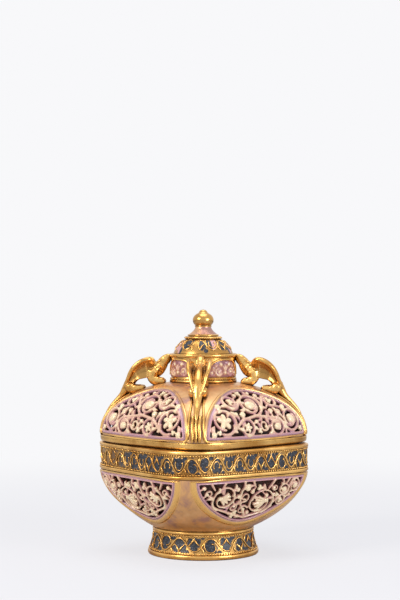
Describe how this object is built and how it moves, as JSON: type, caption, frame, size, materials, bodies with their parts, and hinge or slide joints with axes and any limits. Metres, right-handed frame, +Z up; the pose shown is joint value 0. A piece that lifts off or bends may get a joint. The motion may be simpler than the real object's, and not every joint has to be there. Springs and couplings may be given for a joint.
{
  "type": "lidded vase",
  "caption": "Rounded-square lidded vase with pierced double walls, a round foot, a scroll belt, and a domed lid with dragon handles, a drum and a knob.",
  "frame": {"origin": "middle of the foot's underside", "axes": "+Z up along the vase's middle line; the flat sides of the bowl face +X, -X, +Y and -Y; -Y is the front"},
  "size_m": [0.1598, 0.1598, 0.2194],
  "materials": {
    "gilding": "burnished gold lustre over relief",
    "bronze_lustre": "smooth brown-gold lustre",
    "scroll_enamel": "matt slate-blue enamel with gilt scrolls",
    "rose_glaze": "glossy rose and cream glaze",
    "brown_glaze": "dark brown glaze"
  },
  "bodies": {
    "bowl": {"foot": "gilding", "bowl_wall": "bronze_lustre", "bowl_belt": "scroll_enamel", "bowl_liner": "brown_glaze", "bowl_fretwork_front": "rose_glaze", "bowl_fretwork_right": "rose_glaze", "bowl_fretwork_back": "rose_glaze", "bowl_fretwork_left": "rose_glaze"},
    "lid": {"lid_rim": "gilding", "lid_wall": "bronze_lustre", "lid_liner": "brown_glaze", "lid_fretwork_front": "rose_glaze", "lid_fretwork_right": "rose_glaze", "lid_fretwork_back": "rose_glaze", "lid_fretwork_left": "rose_glaze", "lid_drum": "gilding", "drum_plaque_front": "rose_glaze", "drum_plaque_right": "rose_glaze", "drum_plaque_back": "rose_glaze", "drum_plaque_left": "rose_glaze", "lid_cap": "scroll_enamel", "finial": "gilding", "dragon_handle_front_right": "gilding", "dragon_handle_back_right": "gilding", "dragon_handle_back_left": "gilding", "dragon_handle_front_left": "gilding"}
  },
  "joints": [
    {"name": "lid_lift", "type": "slide", "parent": "bowl", "child": "lid", "axis": [0, 0, 1], "range_m": [0, 0.12]}
  ]
}
